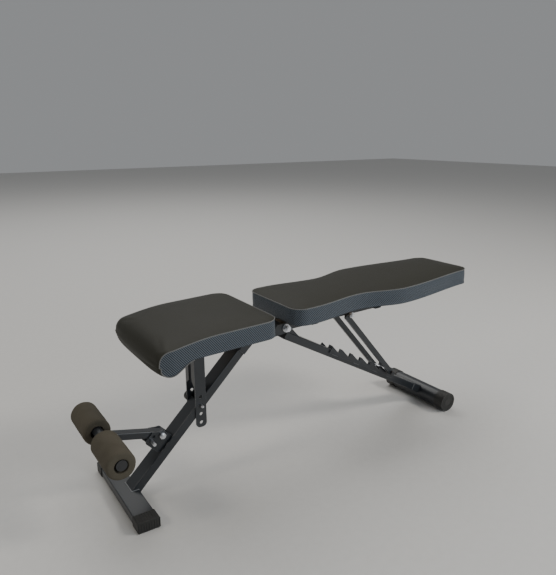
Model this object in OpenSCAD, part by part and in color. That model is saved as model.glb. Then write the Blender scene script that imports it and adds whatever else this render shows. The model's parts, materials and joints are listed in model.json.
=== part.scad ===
// Adjustable weight bench: a folding front leg under a tilting seat, a sloping rear leg with a
// toothed ladder, a reclining backrest held by a swinging strut, and foam ankle rollers.
// X runs from the rollers (-) to the head end (+), Y across, Z up from the floor.
// The long positions below are measured from the middle of the front foot.

/* [Main hinge and legs] */
// Distance of the main hinge behind the front foot
hinge_x = 486; // [470:1:500]
// Height of the main hinge
hinge_z = 387; // [380:1:395]
// Diameter of the main hinge bolt
hinge_bolt_d = 12; // [10:1:12]
// Width of the front leg tube
front_leg_w = 50; // [50:1:52]
// Depth of the front leg tube
front_leg_d = 25; // [22:1:27]
// Angle of the front leg above the floor
front_leg_angle = 44.8; // [43:0.1:46]
// Width of the rear leg tube
rear_leg_w = 49; // [47:1:49]
// Depth of the rear leg tube
rear_leg_d = 24; // [22:1:25]
// Downward slope of the rear leg
rear_leg_slope = 28.9; // [28:0.1:30]
// Wall thickness of the steel tubes
tube_wall = 2; // [1.5:0.1:3]
// Thickness of the steel plates
plate_t = 3.5; // [3:0.1:4]

/* [Feet] */
// Width of the front foot tube
front_foot_w = 54; // [50:1:58]
// Height of the front foot tube
front_foot_h = 25; // [22:1:28]
// Length of the front foot over its caps
front_foot_len = 325; // [280:1:400]
// Diameter of the rear foot tube
rear_foot_d = 60; // [50:1:63]
// Length of the rear foot over its caps
rear_foot_len = 270; // [240:1:400]
// Distance of the rear foot behind the front foot
rear_foot_x = 1086; // [1080:1:1095]
// Thickness of the rubber caps under the feet
cap_t = 2; // [1.5:0.1:3]
// Length of each rubber cap
cap_len = 36; // [25:1:45]

/* [Seat] */
// Length of the seat pad
seat_len = 331; // [320:1:335]
// Width of the seat pad
seat_w = 320; // [260:1:340]
// Thickness of the seat pad
seat_t = 50; // [45:1:55]
// Height of the rear top edge of the seat pad
seat_top_z = 469; // [468:1:472]
// Gap between the seat's rear edge and the main hinge
seat_gap = 103; // [95:1:110]
// Downward slope of the seat towards the front
seat_slope = 1.9; // [1.5:0.1:2.2]

/* [Backrest] */
// Length of the backrest pad
back_len = 716; // [650:1:760]
// Thickness of the backrest pad
back_t = 50; // [45:1:55]
// Width of the backrest pad at its front end
back_front_w = 262; // [230:1:300]
// Width of the backrest pad at its waist
back_waist_w = 218; // [190:1:240]
// Width of the backrest pad at the shoulders
back_shoulder_w = 294; // [250:1:320]
// Width of the backrest pad at the head end
back_head_w = 222; // [200:1:260]
// Upward slope of the backrest pad
back_slope = 1.6; // [1.3:0.1:1.9]
// Width of the backrest frame tube
back_tube_w = 38; // [34:1:38]
// Depth of the backrest frame tube
back_tube_d = 28; // [25:1:28]

/* [Ladder and strut] */
// Number of teeth on the ladder
tooth_count = 6; // [4:1:6]
// Spacing of the teeth along the rear leg
tooth_pitch = 49.2; // [48:0.1:50]
// Distance of the rearmost notch from the top of the rear leg
last_notch = 473; // [470:1:476]
// Diameter of the strut's cross rod
rod_d = 10; // [8:1:10]
// Width of the strut bars
strut_w = 18; // [16:1:24]
// Distance of the strut's pivot behind the main hinge
strut_pivot_dx = 230; // [228:1:233]

/* [Rollers] */
// Diameter of the foam rollers
roller_d = 72; // [62:1:76]
// Length of each foam roller
roller_len = 130; // [110:1:140]
// Diameter of the roller crossbar
crossbar_d = 25; // [22:1:28]
// Height of the roller crossbar
roller_z = 194; // [190:1:202]
// Distance of the roller crossbar in front of the front foot
roller_x = 53; // [48:1:58]

/* [Hidden] */
$fn = 48;

// Clearances
running = 0.05;   // radial clearance of a moving plate on its bolt
side_gap = 0.4;   // between parts that slide past each other sideways
rest_gap = 0.4;   // between a part and the stop that it rests on

// Colours
steel_black = [0.10, 0.11, 0.12];
zinc = [0.75, 0.76, 0.78];
rubber_black = [0.06, 0.06, 0.06];
foam_grey = [0.16, 0.14, 0.12];
vinyl = [0.14, 0.14, 0.14];
plywood = [0.62, 0.48, 0.32];

// Where things stand across the bench, as distances from the middle plane
leg_half = front_leg_w / 2;
rear_half = rear_leg_w / 2;
back_half = back_tube_w / 2;
ear_in = back_half + side_gap;
ear_out = rear_half - 0.2;
hinge_plate_out = leg_half + plate_t;
link_in = leg_half + side_gap;
link_out = link_in + plate_t;
rail_in = link_out + side_gap;
rail_out = rail_in + plate_t;
ladder_out = rear_half + plate_t;
strut_in = ladder_out + 9;
strut_t = 8;
strut_out = strut_in + strut_t;

// Front leg: its upper face starts on top of the front foot
foot_top = cap_t + front_foot_h;
leg_start = [6, foot_top];
leg_dir = [cos(front_leg_angle), sin(front_leg_angle)];
leg_up = [-sin(front_leg_angle), cos(front_leg_angle)];
leg_len = 520;
function on_leg(s, n) = leg_start + s * leg_dir + n * leg_up;

// Rear leg: its middle line runs from just below the main hinge to the rear foot
rear_foot_z = rear_foot_d / 2 + cap_t;
rear_dir = [cos(rear_leg_slope), -sin(rear_leg_slope)];
rear_up = [sin(rear_leg_slope), cos(rear_leg_slope)];
rear_len = 694;
rear_top = [rear_foot_x, rear_foot_z] - rear_len * rear_dir;
rear_tube_start = 14;
rear_face = rear_leg_d / 2;
socket_start = 631;
socket_wall = 2;
function on_rear(s, q) = rear_top + s * rear_dir + q * rear_up;

hinge = [hinge_x, hinge_z];
ear_r = 15;
// The dip in front of the hinge that the backrest pad's lower front edge swings through
pad_dip = [[-30, 13], [-40, -2], [-48, -2], [-61.5, 12]];

// Ladder teeth, in the rear leg's own directions
notch_q = rear_face + rod_d / 2 + rest_gap;
tooth_top = rear_face + 10.5;
ramp_angle = 19;
ladder_front = 198;
ladder_rear = last_notch + 36;
hook_top = rear_face + 20;

// Backrest frame and strut
back_dir = [cos(back_slope), sin(back_slope)];
back_up = [-sin(back_slope), cos(back_slope)];
function on_back(s, n) = hinge + s * back_dir + n * back_up;
back_tube_nose = 9;
back_tube_len = 560;
strut_pivot = [hinge_x + strut_pivot_dx, hinge_z + 2];
rod_at = on_rear(last_notch, notch_q);
strut_span = norm(rod_at - strut_pivot);
strut_angle = atan2(rod_at.y - strut_pivot.y, rod_at.x - strut_pivot.x);
strut_offset = 12;
strut_bolt_d = 10;

// Pads
back_pad_start = -28;
back_under = 34;
board_t = 12;
board_inset = 8;
back_corner = 38;
waist_at = 235;
shoulder_at = 385;
front_flat = 60;
seat_rear_x = hinge_x - seat_gap;
seat_corner = 40;
seat_nose_drop = 28;
seat_nose_len = 62;
nose_r = 24;
seat_brow_at = 215;  // from here the top slopes down to the nose
seat_brow = 14;      // by this much

// Seat frame and link
seat_dir = [cos(seat_slope), sin(seat_slope)];
seat_up = [-sin(seat_slope), cos(seat_slope)];
seat_edge = [seat_rear_x, seat_top_z];
function on_seat(s, n) = seat_edge - s * seat_dir + n * seat_up;
link_x = 211.5;
link_w = 31;
link_pivot = [link_x, 386];
link_hole_pitch = 25;
link_hole_d = 10;
lock_pin_d = 8;
lock_z = 218;
lock_at = [link_x, lock_z];
link_bottom = lock_z - 2 * link_hole_pitch - 14;
link_flange = 20;
link_flange_bottom = lock_z + 60;
link_flange_top = link_pivot.y - 28;
link_bolt_d = 10;
rail_angle = atan2(hinge_z - link_pivot.y, hinge_x - link_pivot.x);

// Roller bracket and arm
bracket_in = 13;
bracket_base = 3;
roller_pivot = on_leg(159.5, 25);
roller_axis = [-roller_x, roller_z];
roller_bolt_d = 10;
stop_pin_d = 9;
arm_w = 25;
arm_h = 20;
arm_angle = atan2(roller_axis.y - roller_pivot.y, roller_axis.x - roller_pivot.x);
arm_len = norm(roller_axis - roller_pivot);
stop_r = 31;
stop_drop = arm_h / 2 + stop_pin_d / 2 + rest_gap;
stop_angle = arm_angle + asin(stop_drop / stop_r);
stop_at = roller_pivot + stop_r * [cos(stop_angle), sin(stop_angle)];
spare_at = roller_pivot + 24 * [cos(arm_angle + 6), sin(arm_angle + 6)];
roller_start = 28;
roller_end = roller_start + roller_len;
end_cap_lip = 2;

// The bench stands with the middle of its length at X = 0
front_end = -roller_x - roller_d / 2;
rear_end = on_back(back_pad_start + back_len, back_under).x;
x_mid = (front_end + rear_end) / 2;

// ---------------------------------------------------------------- shapes used by several parts

module rounded(w, h, r) {
  square([w - 2 * r, h], center = true);
  square([w, h - 2 * r], center = true);
  for (sx = [-1, 1], sy = [-1, 1])
    translate([sx * (w / 2 - r), sy * (h / 2 - r)]) circle(r);
}

module tube_section(w, h, wall) {
  corner = 3;
  difference() {
    rounded(w, h, corner);
    rounded(w - 2 * wall, h - 2 * wall, corner - wall / 2);
  }
}

// Places children, drawn along +X, at a point of the side view and at an angle
module in_side(at, angle) {
  translate([at.x, 0, at.y]) rotate([0, -angle, 0]) children();
}

// Turns a side view outline into a plate between two distances from the middle plane
module side_plate(y_from, y_to) {
  translate([0, y_to, 0]) rotate([90, 0, 0]) linear_extrude(y_to - y_from) children();
}

module both_sides(y_in, y_out) {
  side_plate(y_in, y_out) children();
  side_plate(-y_out, -y_in) children();
}

module pair_on(side, y_in, y_out) {
  if (side > 0) side_plate(y_in, y_out) children();
  else side_plate(-y_out, -y_in) children();
}

module rect_tube(length, w, h) {
  rotate([90, 0, 90]) linear_extrude(length) tube_section(w, h, tube_wall);
}

module tube_plug(length, w, h) {
  rotate([90, 0, 90]) linear_extrude(length)
    rounded(w - 2 * tube_wall - 0.2, h - 2 * tube_wall - 0.2, 2);
}

// A round bar along Y between two places
module bar_y(at, d, y_from, y_to) {
  translate([at.x, y_from, at.y]) rotate([-90, 0, 0]) cylinder(h = y_to - y_from, d = d);
}

module hex_y(at, across, y_from, y_to) {
  translate([at.x, y_from, at.y]) rotate([-90, 0, 0])
    cylinder(h = y_to - y_from, d = across / cos(30), $fn = 6);
}

module washer_y(at, d, hole, y_from, y_to) {
  difference() {
    bar_y(at, d, y_from, y_to);
    bar_y(at, hole, y_from - 1, y_to + 1);
  }
}

// A bolt whose hexagon head is on the far side, with thread left over for its nut
module through_bolt(at, d, y_near, y_far) {
  bar_y(at, d, y_near, y_far);
  hex_y(at, 1.6 * d, y_far, y_far + 0.62 * d);
}

// A lock nut with its round collar, threaded on the near end of a bolt
module lock_nut(at, d, y_near) {
  difference() {
    union() {
      hex_y(at, 1.6 * d, y_near + 0.35 * d, y_near + d);
      bar_y(at, 1.35 * d, y_near, y_near + 0.4 * d);
    }
    bar_y(at, d + 0.02, y_near - 1, y_near + d + 1);
  }
}

// ---------------------------------------------------------------- rear leg, ladder and rear foot

module rear_leg_tube() color(steel_black) difference() {
  in_side(on_rear(rear_tube_start, 0), -rear_leg_slope)
    rect_tube(rear_len - rear_tube_start - 8, rear_leg_w, rear_leg_d);
  bar_y([rear_foot_x, rear_foot_z], rear_foot_d, -leg_half - 5, leg_half + 5);
}

module rear_leg_plug() color(rubber_black)
  in_side(on_rear(rear_tube_start, 0), -rear_leg_slope) tube_plug(12, rear_leg_w, rear_leg_d);

// A sleeve, welded to the rear foot, in which the rear leg ends
module rear_leg_socket() color(steel_black) difference() {
  in_side(on_rear(socket_start, 0), -rear_leg_slope) rotate([90, 0, 90])
    linear_extrude(rear_len - socket_start - 8) difference() {
      rounded(rear_leg_w + 2 * socket_wall, rear_leg_d + 2 * socket_wall, 3);
      rounded(rear_leg_w, rear_leg_d, 2.5);
    }
  bar_y([rear_foot_x, rear_foot_z], rear_foot_d, -leg_half - 5, leg_half + 5);
}

module rear_foot_tube() color(steel_black) difference() {
  bar_y([rear_foot_x, rear_foot_z], rear_foot_d, -rear_foot_len / 2 + 5, rear_foot_len / 2 - 5);
  bar_y([rear_foot_x, rear_foot_z], rear_foot_d - 2 * tube_wall, -rear_foot_len, rear_foot_len);
}

module rear_foot_cap(side) {
  outer = rear_foot_d / 2 + cap_t;
  translate([rear_foot_x, side * rear_foot_len / 2, rear_foot_z]) rotate([side * 90, 0, 0])
    rotate_extrude() difference() {
      union() {
        square([outer, cap_len - 2]);
        square([outer - 1, cap_len]);
      }
      translate([0, 5]) square([rear_foot_d / 2, cap_len]);
      translate([outer - 9, -1]) square([2, 2.2]);
      translate([outer - 17, -1]) square([2, 2.2]);
    }
}

module rear_foot_caps() color(rubber_black) for (side = [-1, 1]) rear_foot_cap(side);

module ear_outline() difference() {
  union() {
    translate(hinge) circle(ear_r);
    polygon([
      on_rear(rear_tube_start + 2, rear_face), on_rear(62, rear_face),
      hinge + ear_r * rear_up, hinge - ear_r * rear_dir, hinge - ear_r * rear_up
    ]);
  }
  translate(hinge) circle(hinge_bolt_d / 2 + running);
}

module rear_hinge_ears() color(steel_black) both_sides(ear_in, ear_out) ear_outline();

// One tooth: a straight rear wall, a flat crest and a ramp that the rod rides up
module notch_outline(s) {
  ramp_foot = s + rod_d / 2 + rest_gap;
  ramp_start = s - 3;
  ramp_end = ramp_start - (tooth_top + 1 - rear_face) / tan(ramp_angle);
  polygon([
    on_rear(ramp_foot, rear_face), on_rear(ramp_foot, hook_top + 8),
    on_rear(ramp_end, hook_top + 8), on_rear(ramp_end, tooth_top + 1),
    on_rear(ramp_start, rear_face)
  ]);
}

module ladder_outline() difference() {
  polygon([
    on_rear(ladder_front - 3, 0), on_rear(ladder_rear, 0),
    on_rear(ladder_rear, rear_face + 3), on_rear(last_notch + 20, hook_top - 6),
    on_rear(last_notch + 14, hook_top), on_rear(last_notch + 5.4, hook_top),
    on_rear(last_notch + 5.4, tooth_top), on_rear(ladder_front + 14, tooth_top),
    on_rear(ladder_front + 10, rear_face + 15), on_rear(ladder_front + 4, rear_face + 15)
  ]);
  for (i = [0 : tooth_count - 1]) notch_outline(last_notch - i * tooth_pitch);
}

module ladder_plate(side) color(steel_black) pair_on(side, rear_half, ladder_out) ladder_outline();

module ladder_plate_near() ladder_plate(-1);
module ladder_plate_far() ladder_plate(1);

washer_t = 1.6;

module main_hinge_bolt() color(zinc)
  through_bolt(hinge, hinge_bolt_d, -rail_out - washer_t - 14, rail_out + washer_t);

module main_hinge_nut() color(zinc) lock_nut(hinge, hinge_bolt_d, -rail_out - washer_t - hinge_bolt_d);

module main_hinge_washers() color(zinc) for (side = [-1, 1])
  washer_y(hinge, 2 * hinge_bolt_d, hinge_bolt_d + 0.2,
    side > 0 ? rail_out : -rail_out - washer_t, side > 0 ? rail_out + washer_t : -rail_out);

// ---------------------------------------------------------------- front leg and front foot

module foot_box(w, h, y_half) translate([-w / 2, -y_half, cap_t]) cube([w, 2 * y_half, h]);

// A cut across the leg, open at the top, in which the lock pin rests
module pin_notch() {
  half = lock_pin_d / 2 + rest_gap;
  side_plate(-leg_half - 1, leg_half + 1) union() {
    translate(lock_at) circle(half);
    translate(lock_at) polygon([[-half, 0], [half, 0], [half + 2, 40], [-half - 1, 40]]);
  }
}

module front_leg_tube() color(steel_black) difference() {
  in_side(on_leg(-24, -front_leg_d / 2), front_leg_angle)
    rect_tube(leg_len + 24, front_leg_w, front_leg_d);
  foot_box(front_foot_w, front_foot_h, leg_half + 5);
  translate([-100, -100, -100]) cube([300, 200, 112]);
  pin_notch();
}

module front_leg_plug() color(rubber_black)
  in_side(on_leg(leg_len - 12, -front_leg_d / 2), front_leg_angle)
    tube_plug(12, front_leg_w, front_leg_d);

// Plates that carry the top of the front leg back to the main hinge
module leg_hinge_plates() color(steel_black) both_sides(leg_half, hinge_plate_out) difference() {
  union() {
    translate(hinge) circle(ear_r);
    polygon([
      hinge + [0, ear_r - 0.5], hinge + pad_dip[0], hinge + pad_dip[1], hinge + pad_dip[2],
      on_leg(leg_len, -1), on_leg(leg_len - 60, -2), on_leg(leg_len - 60, 1 - front_leg_d),
      on_leg(leg_len - 18, -front_leg_d), hinge - [0, ear_r - 0.5]
    ]);
  }
  translate(hinge) circle(hinge_bolt_d / 2 + running);
}

module front_foot_tube() color(steel_black)
  translate([0, front_foot_len / 2 - 5, cap_t + front_foot_h / 2]) rotate([90, 0, 0])
    linear_extrude(front_foot_len - 10) tube_section(front_foot_w, front_foot_h, tube_wall);

module front_foot_cap(side) {
  w = front_foot_w + 2 * cap_t;
  h = front_foot_h + 2 * cap_t;
  rib_count = 8;
  pitch = (w - 6) / rib_count;
  groove = pitch * 0.4;
  deep = 0.9;
  y_end = side * front_foot_len / 2;
  difference() {
    translate([0, y_end - side * cap_len / 2, h / 2]) rotate([90, 0, 0])
      linear_extrude(cap_len, center = true) rounded(w, h, 4);
    translate([-front_foot_w / 2, y_end - side * (cap_len / 2 + 5) - cap_len / 2, cap_t])
      cube([front_foot_w, cap_len, front_foot_h]);
    for (i = [0 : rib_count]) {
      x = -w / 2 + 3 + i * pitch - groove / 2;
      translate([x, y_end - side * deep / 2 - deep, 3]) cube([groove, 2 * deep, h - 6]);
      translate([x, y_end - side * cap_len / 2 - cap_len / 2 + 3, h - deep])
        cube([groove, cap_len - 6, 2 * deep]);
    }
  }
}

module front_foot_caps() color(rubber_black) for (side = [-1, 1]) front_foot_cap(side);

// ---------------------------------------------------------------- roller bracket, arm and rollers

module bracket_outline() difference() {
  union() {
    polygon([
      on_leg(119, 0), on_leg(172, 0), on_leg(172, 30), on_leg(164, 38),
      on_leg(152, 53), on_leg(126, 53), on_leg(118, 45), on_leg(117, 8)
    ]);
    translate(roller_pivot) circle(12.6);
    translate(on_leg(126, 45)) circle(8);
  }
  translate(roller_pivot) circle(roller_bolt_d / 2 + running);
  translate(stop_at) circle(stop_pin_d / 2 + 0.3);
  translate(spare_at) circle(stop_pin_d / 2 + 0.3);
}

module roller_bracket() color(steel_black) {
  both_sides(bracket_in, bracket_in + plate_t) bracket_outline();
  side_plate(-bracket_in, bracket_in)
    polygon([on_leg(119, 0), on_leg(172, 0), on_leg(172, bracket_base), on_leg(119, bracket_base)]);
}

module roller_pivot_bolt() color(zinc)
  through_bolt(roller_pivot, roller_bolt_d, -bracket_in - plate_t - 12, bracket_in + plate_t);

module roller_pivot_nut() color(zinc)
  lock_nut(roller_pivot, roller_bolt_d, -bracket_in - plate_t - roller_bolt_d);

// The arm rests on this pin; its head is on the far side
module roller_stop_pin() color(zinc) {
  bar_y(stop_at, stop_pin_d, -40, bracket_in + plate_t + rest_gap);
  bar_y(stop_at, 2 * stop_pin_d, bracket_in + plate_t + rest_gap, bracket_in + plate_t + 8);
}

module roller_arm_tube() color(steel_black) difference() {
  in_side(roller_pivot, arm_angle) translate([-9, 0, 0])
    rect_tube(arm_len + 9 - crossbar_d / 2 + 6, arm_w, arm_h);
  bar_y(roller_pivot, roller_bolt_d + 2 * running, -arm_w, arm_w);
  bar_y(roller_axis, crossbar_d, -arm_w, arm_w);
}

module roller_arm_plug() color(rubber_black) difference() {
  in_side(roller_pivot, arm_angle) translate([-9, 0, 0]) tube_plug(3, arm_w, arm_h);
  bar_y(roller_pivot, roller_bolt_d + 2, -arm_w, arm_w);
}

module roller_crossbar() color(steel_black) difference() {
  bar_y(roller_axis, crossbar_d, -roller_end, roller_end);
  bar_y(roller_axis, crossbar_d - 2 * tube_wall, -roller_end - 1, roller_end + 1);
}

module roller_end_cap(side) translate([roller_axis.x, side * roller_end, roller_axis.y])
  rotate([side * 90, 0, 0]) rotate_extrude() {
    translate([0, -end_cap_lip]) square([crossbar_d / 2 + 1, end_cap_lip]);
    square([crossbar_d / 2 - tube_wall - 0.1, 14]);
  }

module roller_end_caps() color(rubber_black) for (side = [-1, 1]) roller_end_cap(side);

module foam_roller(side) color(foam_grey)
  translate([roller_axis.x, side * roller_end, roller_axis.y]) rotate([side * 90, 0, 0])
    rotate_extrude() translate([roller_d / 4 + crossbar_d / 4, roller_len / 2])
      rounded(roller_d / 2 - crossbar_d / 2 - 2 * running, roller_len - 1, 5);

module foam_roller_near() foam_roller(-1);
module foam_roller_far() foam_roller(1);

// ---------------------------------------------------------------- seat

// Side view of the seat pad, with its waterfall front edge
module seat_side() {
  nose_mid = -seat_brow - nose_r;
  nose_low = -seat_t - seat_nose_drop + nose_r;
  arc = [for (a = [90 : -15 : 0]) [seat_len - nose_r * (1 - cos(a)), nose_mid + nose_r * sin(a)]];
  under = [for (a = [0 : -15 : -90]) [seat_len - nose_r * (1 - cos(a)), nose_low + nose_r * sin(a)]];
  outline = concat(
    [[0, 0], [seat_brow_at, 0]], arc, under,
    [[seat_len - seat_nose_len, -seat_t - 4], [seat_len - seat_nose_len - 28, -seat_t], [0, -seat_t]]
  );
  polygon([for (p = outline) on_seat(p.x, p.y)]);
}

module seat_plan(inset) translate([seat_rear_x - seat_len / 2, 0])
  rounded(seat_len + 4 - 2 * inset, seat_w - 2 * inset, seat_corner - inset);

module seat_board_shape() intersection() {
  side_plate(-seat_w / 2, seat_w / 2) polygon([
    on_seat(board_inset, -seat_t), on_seat(board_inset, -seat_t + board_t),
    on_seat(seat_len - seat_nose_len - 32, -seat_t + board_t),
    on_seat(seat_len - seat_nose_len - 32, -seat_t)
  ]);
  translate([0, 0, seat_top_z - 150]) linear_extrude(200) seat_plan(board_inset);
}

module seat_pad() color(vinyl) difference() {
  intersection() {
    side_plate(-seat_w / 2, seat_w / 2) seat_side();
    translate([0, 0, seat_top_z - 150]) linear_extrude(200) seat_plan(0);
  }
  seat_board_shape();
}

module seat_board() color(plywood) difference() {
  seat_board_shape();
  seat_screws(0.1);
}

// Each side rail runs forward from the main hinge to the pivot of the link
module seat_rail_outline() difference() {
  across = (ear_r - 0.5) * [-sin(rail_angle), cos(rail_angle)];
  union() {
    translate(hinge) circle(ear_r);
    translate(link_pivot) circle(ear_r);
    polygon(concat(
      [hinge + across], [for (p = pad_dip) hinge + p],
      [link_pivot + across, link_pivot - across, hinge + [-44, -ear_r - 5], hinge - across]
    ));
  }
  translate(hinge) circle(hinge_bolt_d / 2 + running);
  translate(link_pivot) circle(link_bolt_d / 2 + running);
}

module seat_rail(side) color(steel_black) pair_on(side, rail_in, rail_out) seat_rail_outline();
module seat_rail_near() seat_rail(-1);
module seat_rail_far() seat_rail(1);

// Distance along the seat, from its rear edge, of each cross bar
seat_bar_at = [24, 212];
cross_bar_w = 25;

function rail_top(x) =
  link_pivot.y + ear_r + (hinge.y - link_pivot.y) * (x - link_pivot.x) / (hinge.x - link_pivot.x);

module seat_cross_bar(s) {
  front = on_seat(s + cross_bar_w, -seat_t);
  rear = on_seat(s, -seat_t);
  bottom = rail_top(rear.x);
  wall = [tube_wall, tube_wall];
  side_plate(-75, 75) difference() {
    polygon([rear, front, [front.x, bottom], [rear.x, bottom]]);
    polygon([
      rear - wall, [front.x + tube_wall, front.y - tube_wall],
      [front.x, bottom] + wall, [rear.x - tube_wall, bottom + tube_wall]
    ]);
  }
}

// A screw up through a cross bar into the board, its head under the bar
module board_screw(at, angle, high, extra) in_side(at, angle) {
  translate([0, 0, -high]) cylinder(h = high + board_t - 2, d = 6 + extra);
  translate([0, 0, -high - 3]) cylinder(h = 3, d = 12);
}

// The seat's screws, or the slightly larger holes that they need
module seat_screws(extra) for (s = seat_bar_at, side = [-1, 1]) {
  at = on_seat(s + cross_bar_w / 2, -seat_t);
  translate([0, side * 60, 0]) board_screw(at, seat_slope, at.y - rail_top(at.x) - 0.4, extra);
}

module seat_cross_bars() color(steel_black) difference() {
  for (s = seat_bar_at) seat_cross_bar(s);
  seat_screws(0.2);
}

module seat_board_screws() color(zinc) seat_screws(0);

link_stack = rail_out + 0.2;

module link_pivot_bolt() color(zinc)
  through_bolt(link_pivot, link_bolt_d, -link_stack - 12, link_stack);

module link_pivot_nut() color(zinc) lock_nut(link_pivot, link_bolt_d, -link_stack - link_bolt_d);

// ---------------------------------------------------------------- link and lock pin

module link_outline() difference() {
  union() {
    translate(link_pivot) circle(13);
    translate([link_x - 13, link_pivot.y - 40]) square([26, 40]);
    translate([link_x - link_w / 2, link_bottom + 12])
      square([link_w, link_pivot.y - 30 - link_bottom - 12]);
    translate([link_x - link_w / 2 + 12, link_bottom]) square([link_w - 24, 14]);
    for (side = [-1, 1])
      translate([link_x + side * (link_w / 2 - 12), link_bottom + 12]) circle(12);
  }
  for (i = [-2 : 1]) translate([link_x, lock_z + i * link_hole_pitch]) circle(link_hole_d / 2);
  translate(link_pivot) circle(link_bolt_d / 2 + running);
}

// The bent-in front edge that stiffens the top of each link plate
module link_flange(side) {
  front = link_x - link_w / 2;
  translate([front + plate_t, 0, 0]) rotate([90, 0, -90]) linear_extrude(plate_t)
    polygon([
      [-side * link_out, link_flange_bottom - 12], [-side * link_out, link_flange_top],
      [-side * (link_out - link_flange), link_flange_top],
      [-side * (link_out - link_flange), link_flange_bottom + 6]
    ]);
}

module seat_link(side) color(steel_black) {
  pair_on(side, link_in, link_out) link_outline();
  link_flange(side);
}

module seat_link_near() seat_link(-1);
module seat_link_far() seat_link(1);

module seat_lock_pin() color(zinc) {
  bar_y(lock_at, lock_pin_d, -link_out - 10, link_out + 16);
  translate([lock_at.x, -link_out - 10, lock_at.y]) rotate([90, 0, 0])
    cylinder(h = 3, d1 = lock_pin_d, d2 = lock_pin_d - 3);
}

module seat_lock_knob() color(rubber_black) difference() {
  translate([lock_at.x, link_out + 1, lock_at.y]) rotate([-90, 0, 0]) rotate_extrude() {
    square([9, 8]);
    translate([0, 8]) square([14, 14]);
  }
  bar_y(lock_at, lock_pin_d, link_out - 5, link_out + 16);
}

// ---------------------------------------------------------------- backrest

function smooth(t) = t * t * (3 - 2 * t);
function between(a, b, t) = a + (b - a) * smooth(t);

// Half the pad's width at a distance from its front edge
function back_half_width(s) =
  (s < front_flat ? back_front_w
    : s < waist_at ? between(back_front_w, back_waist_w, (s - front_flat) / (waist_at - front_flat))
    : s < shoulder_at
      ? between(back_waist_w, back_shoulder_w, (s - waist_at) / (shoulder_at - waist_at))
      : between(back_shoulder_w, back_head_w, (s - shoulder_at) / (back_len - shoulder_at))) / 2;

// How far a rounded corner pulls the edge in, at a distance from the pad's end
function corner_pull(s) =
  s >= back_corner ? 0 : back_corner - sqrt(back_corner ^ 2 - (back_corner - s) ^ 2);

function back_edge(s) = back_half_width(s) - corner_pull(s) - corner_pull(back_len - s);

back_steps = 72;
// Stations are closer together at both ends, where the corners are
back_stations = [for (i = [0 : back_steps]) back_len * (1 - cos(180 * i / back_steps)) / 2];

module back_plan() polygon(concat(
  [for (s = back_stations) [s, back_edge(s)]],
  [for (i = [back_steps : -1 : 0]) [back_stations[i], -back_edge(back_stations[i])]]
));

module back_board_plan() {
  steps = 36;
  from = board_inset + 6;
  span = back_len - 2 * from;
  stations = [for (i = [0 : steps]) from + span * i / steps];
  pull = [for (s = stations) back_edge(s) - board_inset];
  polygon(concat(
    [for (i = [0 : steps]) [stations[i], pull[i]]],
    [for (i = [steps : -1 : 0]) [stations[i], -pull[i]]]
  ));
}

module on_backrest() in_side(on_back(back_pad_start, back_under), back_slope) children();

module back_pad() color(vinyl) on_backrest() difference() {
  linear_extrude(back_t) back_plan();
  translate([0, 0, -1]) linear_extrude(board_t + 1) back_board_plan();
}

module back_board() color(plywood) difference() {
  on_backrest() linear_extrude(board_t) back_board_plan();
  back_screws(0.1);
}

module back_frame_tube() color(steel_black) difference() {
  in_side(on_back(-back_tube_nose, 0), back_slope)
    rect_tube(back_tube_nose + back_tube_len, back_tube_w, back_tube_d);
  bar_y(hinge, hinge_bolt_d + 2 * running, -back_tube_w, back_tube_w);
  bar_y(strut_pivot, strut_bolt_d + 2 * running, -back_tube_w, back_tube_w);
}

module back_frame_plugs() color(rubber_black) {
  difference() {
    in_side(on_back(-back_tube_nose, 0), back_slope) tube_plug(3, back_tube_w, back_tube_d);
    bar_y(hinge, hinge_bolt_d + 1, -back_tube_w, back_tube_w);
  }
  in_side(on_back(back_tube_len, 0), back_slope) {
    translate([-10, 0, 0]) tube_plug(10, back_tube_w, back_tube_d);
    rotate([90, 0, 90]) linear_extrude(2.5) rounded(back_tube_w, back_tube_d, 3);
  }
}

// Distance behind the main hinge of each cross bar under the backrest
back_bar_at = [60, 300, 520];

back_bar_h = back_under - back_tube_d / 2;
back_bar_len = 180;

module back_screws(extra) for (s = back_bar_at, side = [-1, 1])
  translate([0, side * 76, 0])
    board_screw(on_back(s, back_under), back_slope, back_bar_h, extra);

module back_cross_bars() color(steel_black) difference() {
  for (s = back_bar_at)
    in_side(on_back(s, back_tube_d / 2 + back_bar_h / 2), back_slope)
      translate([0, back_bar_len / 2, 0]) rotate([90, 0, 0]) linear_extrude(back_bar_len)
        tube_section(cross_bar_w, back_bar_h, tube_wall);
  back_screws(0.2);
}

module back_board_screws() color(zinc) back_screws(0);

strut_stack = strut_out + side_gap;

module strut_pivot_bolt() color(zinc)
  through_bolt(strut_pivot, strut_bolt_d, -strut_stack - 12, strut_stack);

module strut_pivot_nut() color(zinc)
  lock_nut(strut_pivot, strut_bolt_d, -strut_stack - strut_bolt_d);

// Sleeves that hold the strut's bars away from the backrest's frame tube
module strut_spacers() color(steel_black) for (side = [-1, 1])
  washer_y(strut_pivot, 20, strut_bolt_d + 0.1,
    side > 0 ? back_half : side_gap - strut_in, side > 0 ? strut_in - side_gap : -back_half);

// ---------------------------------------------------------------- strut

// A straight bar with an ear at its pivot, which it passes in front of, and the rod at its end
module strut_outline() difference() {
  half = strut_w / 2;
  edge = half - 0.5;
  start = [0, -strut_offset];
  end = [strut_span, 0];
  along = (end - start) / norm(end - start);
  across = edge * [-along.y, along.x];
  translate(strut_pivot) rotate(strut_angle) union() {
    circle(half);
    translate(start) circle(half);
    translate(end) circle(half);
    polygon([start + across, end + across, end - across, start - across]);
    polygon([[-edge, 0], [edge, 0], start + [edge, 0], start - [edge, 0]]);
  }
  translate(strut_pivot) circle(strut_bolt_d / 2 + running);
  translate(rod_at) circle(rod_d / 2);
}

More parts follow.
